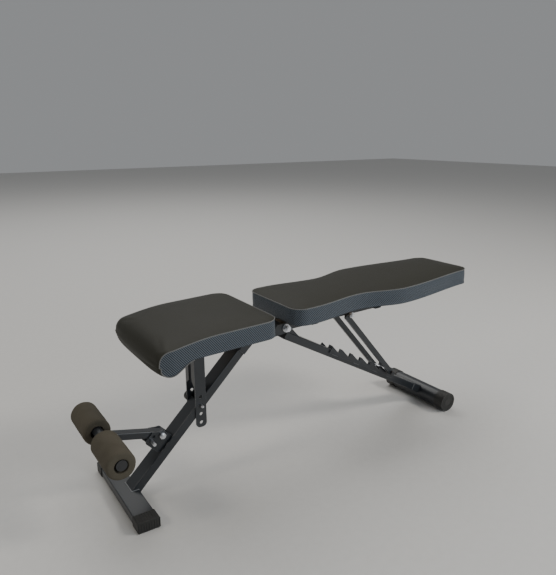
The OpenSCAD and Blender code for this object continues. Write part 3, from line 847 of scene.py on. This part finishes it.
@dataclass
class SeatPad(Pad):
    """The seat: its top panel runs over a rounded nose and back underneath."""

    half: float = 160 * MM
    brow_at: float = 215 * MM
    brow_ease: float = 45 * MM
    brow: float = 14 * MM
    nose: float = 24 * MM
    nose_drop: float = 28 * MM
    nose_length: float = 86 * MM

    def half_width(self, s: float) -> float:
        """Returns half the seat's width at a distance from its rear edge."""
        s = min(max(s, 0.0), self.length)
        return self.half - self.corner_pull(s) - 6 * MM * max(0.0, s / self.length - 0.9) * 10

    def nose_curve(self, s: float) -> float:
        """Returns how far the nose has rounded away at a distance from the rear edge."""
        past = max(0.0, s - (self.length - self.nose))
        return self.nose - math.sqrt(max(self.nose**2 - past**2, 0.0))

    def top(self, s: float) -> float:
        """Returns the height of the upper seam above the underside."""
        fall = self.brow / (self.length - self.nose - self.brow_at)
        past = min(max(s - self.brow_at, -self.brow_ease), self.brow_ease)
        eased = (past + self.brow_ease) ** 2 / (4 * self.brow_ease)
        straight = max(s - self.brow_at - self.brow_ease, 0.0)
        return self.thick - fall * (eased + straight) - self.nose_curve(s)

    def bottom(self, s: float) -> float:
        """Returns the height of the underside, which dips at the nose."""
        start = self.length - self.nose_length
        share = (s - start) / (self.nose_length - self.nose)
        return -between(0, self.nose_drop, share) + self.nose_curve(s)

    def seam_distance(self, i: int, j: int, m: int) -> float:
        """Returns how far a lattice place on the top panel is from the nearest seam, or 0."""
        s = self.station(i)
        side = (1 - abs(self.share(j))) * self.half_width(s)
        if m == 0:
            return min(side, s)
        if i == self.stations:
            return side
        if m == self.layers:
            return max(0.0, min(side, s - self.board_end - 15 * MM))
        return 0.0

    def end_panel(self) -> Panel:
        """Returns the panel that covers the front."""
        return Panel.TOP

    def under_panel(self, i: int) -> Panel:
        """Returns the panel that covers the underside at a station."""
        return Panel.TOP if self.station(i) > self.board_end else Panel.BACKING

    def is_seam(self, i: int, j: int) -> bool:
        """Says whether the top's edge is sewn here; it isn't across the front."""
        return i < self.stations or j in (0, self.rows)

    def staples(self, place: Vector) -> bool:
        """Says whether a low vertex is held by the board."""
        along = (place - self.origin).dot(self.at(1, 0, 0) - self.at(0, 0, 0))
        return along < self.board_end + 20 * MM or abs(place.y) > self.half - 12 * MM

    def sewn_path(self) -> list[Vector]:
        """Returns the points of the seam: under the nose, round it, and along the top."""
        last = self.stations
        under = [i for i in range(last + 1) if self.station(i) > self.board_end]
        path = []
        for j, order in ((0, 1), (self.rows, -1)):
            side = [self.point(i, j, self.layers) for i in under]
            side += [self.point(last, j, m) for m in range(self.layers - 1, 0, -1)]
            side += [self.point(i, j, 0) for i in range(last, -1, -1)]
            if order == 1:
                path = side + [self.point(0, k, 0) for k in range(1, self.rows)]
            else:
                path += side[::-1]
        return path

    def welt_is_closed(self) -> bool:
        """Says whether the welt goes all the way round."""
        return False


# ---------------------------------------------------------------- foam rollers


@dataclass
class FoamRollers:
    """The two foam sleeves on the roller bar."""

    radius: float = 35.8 * MM
    bore: float = 16.8 * MM
    sag: float = 4.0 * MM
    half_length: float = 64.5 * MM
    outer_round: float = 7 * MM
    bore_round: float = 2.5 * MM
    turns: int = 96
    waviness: float = 0.45 * MM

    def profile(self) -> list[tuple[float, float]]:
        """Returns the closed section of a sleeve, as radius and distance along it."""
        points = []
        for end in (1, -1):
            arcs = ((self.bore + self.bore_round, self.bore_round, 180, 90),
                    (self.radius - self.outer_round, self.outer_round, 90, 0))
            corner = []
            for centre, size, start, stop in arcs:
                for k in range(7):
                    turn = math.radians(start + (stop - start) * k / 6)
                    corner.append((centre + size * math.cos(turn),
                                   end * (self.half_length - size + size * math.sin(turn))))
            corner += [(self.radius, end * self.half_length * share) for share in (0.7, 0.5, 0.3, 0.1)]
            points += corner if end == 1 else corner[::-1]
        inner = [(self.bore, -self.half_length * share) for share in (0.6, 0.0, -0.6)]
        return points + inner

    def sleeve(self, name: str, centre: Vector) -> bpy.types.Object:
        """Turns one sleeve about the bar.

        Args:
            name: the piece's name.
            centre: the middle of the sleeve.

        Returns:
            The sleeve.
        """
        shape = bmesh.new()
        rings = []
        for step in range(self.turns):
            turn = 2 * math.pi * step / self.turns
            ring = []
            for radius, along in self.profile():
                spot = Vector((math.cos(turn) * radius, along, math.sin(turn) * radius))
                if radius > self.bore + 1 * MM:
                    spot *= 1 + self.waviness / self.radius * noise.noise((centre + spot) * 40)
                ring.append(shape.verts.new(centre + spot))
            rings.append(ring)
        count = len(rings[0])
        for first, second in zip(rings, rings[1:] + rings[:1]):
            for k in range(count):
                following = (k + 1) % count
                made = shape.faces.new((first[k], first[following], second[following], second[k]))
                made.smooth = True
        bmesh.ops.recalc_face_normals(shape, faces=shape.faces)
        return new_piece(name, shape)

    def build(self, wardrobe: Wardrobe) -> None:
        """Makes both sleeves and hands them to their bodies."""
        for side in ("near", "far"):
            node = f"foam_roller_{side}"
            low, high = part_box(node)
            hanging = (low + high) / 2 - Vector((0, 0, self.sag))
            piece = self.sleeve(f"sleeve_{side}", hanging)
            wardrobe.dress(piece, Coat.FOAM)
            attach(piece, f"roller_{side}")
            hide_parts(node)
            log.info("foam sleeve, %s side", side)


# ---------------------------------------------------------------- welds


@dataclass
class Bead:
    """One weld bead between two points, on one body."""

    start: Vector
    stop: Vector
    body: str
    radius: float = 1.8 * MM


@dataclass
class Welds:
    """The weld beads that show where tubes and plates meet."""

    ripple: float = 1.7 * MM
    sides: int = 10
    leg_angle: float = 44.8
    rear_slope: float = 28.9

    def bead(self, name: str, place: Bead) -> bpy.types.Object:
        """Extrudes a rippled bead between its two ends.

        Args:
            name: the piece's name.
            place: where the bead lies.

        Returns:
            The bead.
        """
        run = place.stop - place.start
        count = max(4, round(run.length / self.ripple))
        bpy.ops.object.select_all(action="DESELECT")
        bpy.ops.mesh.primitive_circle_add(
            vertices=self.sides, radius=place.radius * 0.6, fill_type="NGON", location=(0, 0, 0)
        )
        piece = bpy.context.view_layer.objects.active
        piece.name = piece.data.name = name
        bpy.ops.object.mode_set(mode="EDIT")
        bpy.ops.mesh.select_all(action="SELECT")
        for k in range(2 * count):
            wide = 1.5 if k % 2 == 0 else 1 / 1.5
            bpy.ops.mesh.extrude_region_move(
                TRANSFORM_OT_translate={"value": (0, 0, run.length / (2 * count))}
            )
            bpy.ops.transform.resize(value=(wide, wide, 1))
        bpy.ops.mesh.select_all(action="SELECT")
        bpy.ops.mesh.normals_make_consistent(inside=False)
        bpy.ops.object.mode_set(mode="OBJECT")
        turn = run.to_track_quat("Z", "Y").to_matrix().to_4x4()
        piece.data.transform(Matrix.Translation(place.start) @ turn)
        subdivide(piece, 1)
        return piece

    def places(self) -> list[Bead]:
        """Returns every bead, from the boxes of the parts that it joins."""
        foot_low, foot_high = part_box("front_foot_tube")
        leg_low, leg_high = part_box("front_leg_tube")
        turn = math.radians(self.leg_angle)
        uphill = Vector((math.cos(turn), 0, math.sin(turn)))
        toe = Vector(((foot_low.x + foot_high.x) / 2 + 6 * MM, 0, foot_high.z))
        half = leg_high.y
        across = Vector((0, half, 0))
        beads = [Bead(toe - across, toe + across, "front_leg", 2.2 * MM)]
        base_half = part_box("roller_bracket")[1].y
        for side in (-1, 1):
            edge = Vector((0, side * half, 0))
            heel = Vector((foot_high.x, 0, foot_high.z))
            beads.append(Bead(toe + edge, heel + edge, "front_leg"))
            plate = Vector((0, side * (base_half - 3.5 * MM), 0))
            beads.append(Bead(toe + uphill * 0.120 + plate, toe + uphill * 0.171 + plate, "front_leg", 1.3 * MM))
        return beads + self.rear_places()

    def rear_places(self) -> list[Bead]:
        """Returns the beads of the socket and of the ladder plates."""
        turn = math.radians(self.rear_slope)
        downhill = Vector((math.cos(turn), 0, -math.sin(turn)))
        up = Vector((math.sin(turn), 0, math.cos(turn)))
        low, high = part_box("rear_foot_tube")
        foot = Vector(((low.x + high.x) / 2, 0, (low.z + high.z) / 2))
        mouth = foot - downhill * 63 * MM
        side_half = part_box("rear_leg_tube")[1].y
        plate_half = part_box("ladder_plate_far")[1].y
        beads = []
        for side in (-1, 1):
            edge = Vector((0, side * side_half, 0))
            beads.append(Bead(mouth + edge - up * 11 * MM, mouth + edge + up * 11 * MM, "rear_frame", 1.6 * MM))
            for back in (470, 370, 275, 200):
                middle = foot - downhill * back * MM + Vector((0, side * (plate_half - 2.5 * MM), 0))
                half = downhill * 13 * MM
                beads.append(Bead(middle - half, middle + half, "rear_frame", 1.5 * MM))
        top = Vector((0, side_half, 0))
        rim = mouth + up * 12 * MM
        beads.append(Bead(rim - top, rim + top, "rear_frame", 1.6 * MM))
        return beads

    def build(self, wardrobe: Wardrobe) -> None:
        """Makes every bead and hands it to its body."""
        for number, place in enumerate(self.places()):
            piece = self.bead(f"weld_{number:02d}", place)
            # The beads' light grey finish is a painted glint.
            wardrobe.dress(piece, Coat.WELD)
            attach(piece, place.body)
        log.info("%d weld beads", number + 1)


# ---------------------------------------------------------------- frame and studio


@dataclass
class FrameFinish:
    """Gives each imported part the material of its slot."""

    slots: dict[str, Coat] = field(
        default_factory=lambda: {
            "powder_black": Coat.STEEL,
            "zinc": Coat.ZINC,
            "rubber_black": Coat.RUBBER,
            "plastic_black": Coat.PLASTIC,
            "foam": Coat.FOAM,
            "vinyl": Coat.VINYL,
            "plywood": Coat.PLY,
        }
    )

    def build(self, wardrobe: Wardrobe) -> None:
        """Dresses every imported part."""
        for part in frame["record"]["subparts"]:
            wardrobe.dress(frame["nodes"][part["node"]], self.slots[part["material_slot"]])
        log.info("%d packed parts dressed", len(frame["nodes"]))


@dataclass
class Lamp:
    """One soft rectangular lamp, aimed at a point."""

    name: str
    place: tuple[float, float, float]
    aim: tuple[float, float, float]
    size: float
    watts: float
    colour: tuple[float, float, float] = (1.0, 1.0, 1.0)

    def build(self) -> None:
        """Adds the lamp to the scene."""
        light = bpy.data.lights.new(self.name, "AREA")
        light.size = self.size
        light.energy = self.watts
        light.color = self.colour
        lamp = bpy.data.objects.new(self.name, light)
        bpy.context.scene.collection.objects.link(lamp)
        lamp.location = self.place
        towards = Vector(self.aim) - Vector(self.place)
        lamp.rotation_euler = towards.to_track_quat("-Z", "Y").to_euler()


@dataclass
class Studio:
    """A pale floor, soft lamps and the camera."""

    eye: tuple[float, float, float] = (-0.93865, -1.3421, 0.9312)
    gaze: tuple[float, float, float] = (0.5283, 0.8085, -0.2593)
    roll: float = -0.24
    lens: float = 36.36
    floor_half: float = 14.0
    sky: tuple[float, float, float] = (0.80, 0.82, 0.84)
    sky_strength: float = 0.33
    lamps: tuple[Lamp, ...] = (
        Lamp("key", (2.4, -2.0, 2.6), (0, 0, 0.35), 0.9, 60, (1.0, 0.96, 0.90)),
        Lamp("window", (0.9, -3.4, 1.2), (0.1, 0, 0.3), 2.0, 40, (0.80, 0.90, 1.0)),
        Lamp("overhead", (0.6, 3.2, 4.5), (0.6, 3.0, 0), 5.0, 150, (1.0, 0.99, 0.97)),
        Lamp("rim", (-2.6, 0.2, 1.9), (-0.3, 0, 0.2), 0.5, 12, (1.0, 0.94, 0.84)),
    )

    def floor(self, wardrobe: Wardrobe) -> None:
        """Lays the floor."""
        bpy.ops.object.select_all(action="DESELECT")
        bpy.ops.mesh.primitive_plane_add(size=2 * self.floor_half, location=(0, 0, 0))
        piece = bpy.context.view_layer.objects.active
        piece.name = piece.data.name = "floor"
        wardrobe.dress(piece, Coat.FLOOR)

    def camera(self) -> None:
        """Sets the camera up."""
        lens = bpy.data.cameras.new("camera")
        lens.lens = self.lens
        lens.sensor_width = 36.0
        lens.clip_end = 60.0
        piece = bpy.data.objects.new("camera", lens)
        bpy.context.scene.collection.objects.link(piece)
        level = Vector(self.gaze).to_track_quat("-Z", "Y")
        tilt = Matrix.Rotation(math.radians(self.roll), 4, "Z")
        piece.matrix_world = Matrix.Translation(self.eye) @ level.to_matrix().to_4x4() @ tilt
        bpy.context.scene.camera = piece

    def build(self, wardrobe: Wardrobe) -> None:
        """Builds the whole studio."""
        self.floor(wardrobe)
        for lamp in self.lamps:
            lamp.build()
        world = bpy.data.worlds.new("studio")
        world.use_nodes = True
        background = world.node_tree.nodes["Background"]
        background.inputs["Color"].default_value = (*self.sky, 1)
        background.inputs["Strength"].default_value = self.sky_strength
        bpy.context.scene.world = world
        self.camera()
        log.info("studio, %d lamps", len(self.lamps))


# ---------------------------------------------------------------- the bench


def make_seat() -> SeatPad:
    """Returns the seat, whose rear edge stands in front of the main hinge."""
    slope = 1.9
    thick = 50 * MM
    hinge = joint_place("back_recline")
    turn = math.radians(slope)
    edge = Vector((hinge.x - 103 * MM, 0, 469 * MM))
    origin = edge - Vector((-math.sin(turn), 0, math.cos(turn))) * thick
    return SeatPad(
        name="seat_cushion", node="seat_pad", body="seat", length=331 * MM, thick=thick,
        slope=slope, facing=-1, corner=40 * MM, board_end=245 * MM, origin=origin, crown=7 * MM,
    )


def make_back() -> BackPad:
    """Returns the backrest pad, which starts just in front of the main hinge."""
    slope = 1.6
    hinge = joint_place("back_recline")
    turn = math.radians(slope)
    along = Vector((math.cos(turn), 0, math.sin(turn)))
    up = Vector((-math.sin(turn), 0, math.cos(turn)))
    origin = hinge - along * 28 * MM + up * 34 * MM
    return BackPad(
        name="back_cushion", node="back_pad", body="backrest", length=716 * MM, thick=50 * MM,
        slope=slope, corner=38 * MM, border=12.5 * MM, board_end=704 * MM, stations=96, rows=26,
        origin=origin,
    )


def main() -> None:
    """Builds the looks of the bench and reports each piece."""
    logging.basicConfig(level=logging.INFO, format="%(name)s: %(message)s")
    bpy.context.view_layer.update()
    wardrobe = Wardrobe()
    FrameFinish().build(wardrobe)
    make_seat().build(wardrobe)
    make_back().build(wardrobe)
    FoamRollers().build(wardrobe)
    Welds().build(wardrobe)
    Studio().build(wardrobe)


if __name__ == "__main__":
    main()
